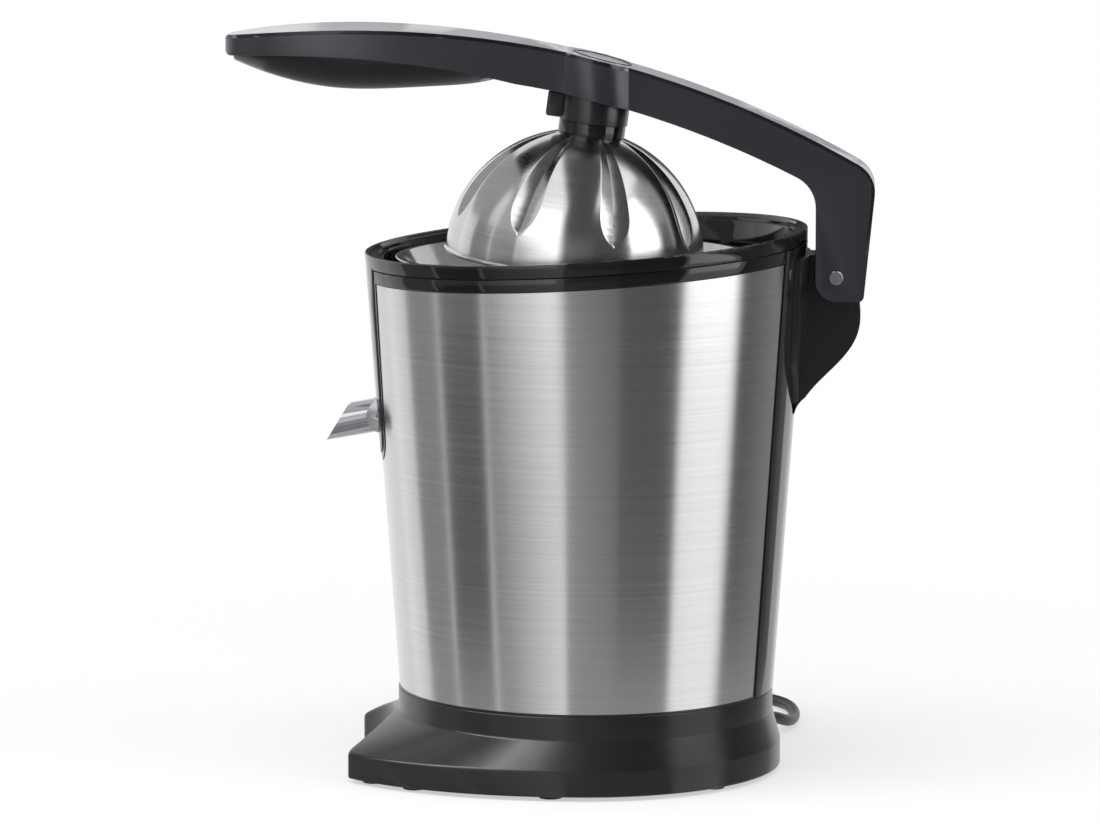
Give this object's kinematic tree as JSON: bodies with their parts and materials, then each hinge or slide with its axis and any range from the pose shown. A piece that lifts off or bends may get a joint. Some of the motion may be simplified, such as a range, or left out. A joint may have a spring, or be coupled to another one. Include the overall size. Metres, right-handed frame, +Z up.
{
  "type": "lever citrus press",
  "caption": "Electric lever citrus press: tapered steel body on a hollowed base, long hinged lever with a fluted pressing bell over a motor-driven cone, tilting spout and coiled mains cord.",
  "frame": {"origin": "on the table under the middle of the press, cord and plug left out", "axes": "+Z up, -Y towards the spout and the lever's handle, +X to the side seen in the picture"},
  "size_m": [0.2734, 0.2816, 0.324],
  "materials": {
    "satin_black": "satin moulded plastic",
    "lever_grey": "fine matte moulded plastic",
    "cover_grey": "silver-grey satin",
    "gloss_black": "polished",
    "brushed_steel": "brushed round the body",
    "bell_steel": "satin turned",
    "bright_steel": "bright",
    "steel_part": "ground",
    "bronze": "sintered",
    "rubber": "matte",
    "grip": "soft touch",
    "white_plastic": "natural gear plastic",
    "cord_black": "smooth sheath"
  },
  "bodies": {
    "housing": {"base_shell": "satin_black", "bottom_plate": "satin_black", "rubber_feet": "rubber", "body_housing": "satin_black", "steel_wrap": "brushed_steel", "trim_frame": "gloss_black", "rear_panel": "gloss_black", "hinge_bracket": "satin_black", "hinge_bushes": "bronze", "hinge_pin": "bright_steel", "juice_bowl": "gloss_black", "sieve": "bell_steel", "spout_pins": "bright_steel", "upper_bush": "bronze", "lower_bush": "bronze", "shaft_seal": "rubber", "gear_plate": "steel_part", "gear_cover": "white_plastic", "idler_axle": "steel_part", "return_spring": "bright_steel", "switch_body": "satin_black", "motor_can": "steel_part", "motor_cap": "satin_black", "motor_bushes": "bronze", "motor_magnets": "steel_part", "cord_gland": "cord_black", "cord_lead": "cord_black", "cord_coil": "cord_black", "cord_tail": "cord_black", "plug_body": "cord_black", "plug_pins": "bright_steel"},
    "lever": {"lever_arm": "lever_grey", "lever_cover": "cover_grey", "boss_cap": "cover_grey", "grip_pad": "grip", "press_bell": "bell_steel", "bell_neck": "gloss_black", "bell_nut": "bright_steel", "bell_bolt": "bright_steel", "bell_holder": "satin_black"},
    "catch": {"release_button": "satin_black"},
    "spout": {"spout": "bright_steel"},
    "thrust": {"thrust_cup": "white_plastic"},
    "cone": {"drive_shaft": "steel_part", "output_gear": "white_plastic", "reamer_cone": "satin_black"},
    "idler": {"idler_gear": "white_plastic"},
    "motor": {"motor_rotor": "steel_part", "motor_shaft": "steel_part", "motor_fan": "white_plastic", "motor_pinion": "steel_part"},
    "plunger": {"switch_button": "white_plastic"}
  },
  "joints": [
    {"name": "lever_hinge", "type": "hinge", "parent": "housing", "child": "lever", "pos_m": [0, 0.1242, 0.217], "axis": [-1, 0, 0], "range_deg": [-7.5, 75]},
    {"name": "catch_push", "type": "slide", "parent": "lever", "child": "catch", "axis": [0, 0.9914, -0.1305], "range_m": [0, 0.0028], "stiffness_N_per_m": 600, "springref_m": -0.002},
    {"name": "spout_tilt", "type": "hinge", "parent": "housing", "child": "spout", "pos_m": [0, -0.0719, 0.155], "axis": [-1, 0, 0], "range_deg": [0, 30]},
    {"name": "thrust_slide", "type": "slide", "parent": "housing", "child": "thrust", "axis": [0, 0, 1], "range_m": [-0.002, 0], "stiffness_N_per_m": 2500, "springref_m": 0.004, "deforming": ["return_spring"]},
    {"name": "cone_spin", "type": "hinge", "parent": "thrust", "child": "cone", "pos_m": [0, 0.01081, 0.2], "axis": [0, 0, 1], "continuous": true},
    {"name": "idler_spin", "type": "hinge", "parent": "housing", "child": "idler", "pos_m": [0.02344, 0.04008, 0.115], "axis": [0, 0, 1], "continuous": true},
    {"name": "motor_spin", "type": "hinge", "parent": "housing", "child": "motor", "pos_m": [0, 0.05881, 0.08], "axis": [0, 0, 1], "continuous": true},
    {"name": "switch_push", "type": "slide", "parent": "housing", "child": "plunger", "axis": [0, 0, 1], "range_m": [-0.002, 0]}
  ],
  "couplings": [
    {"joint": "idler_spin", "follows": "cone_spin", "ratio": -4},
    {"joint": "motor_spin", "follows": "cone_spin", "ratio": 16},
    {"joint": "switch_push", "follows": "thrust_slide", "ratio": 1}
  ]
}
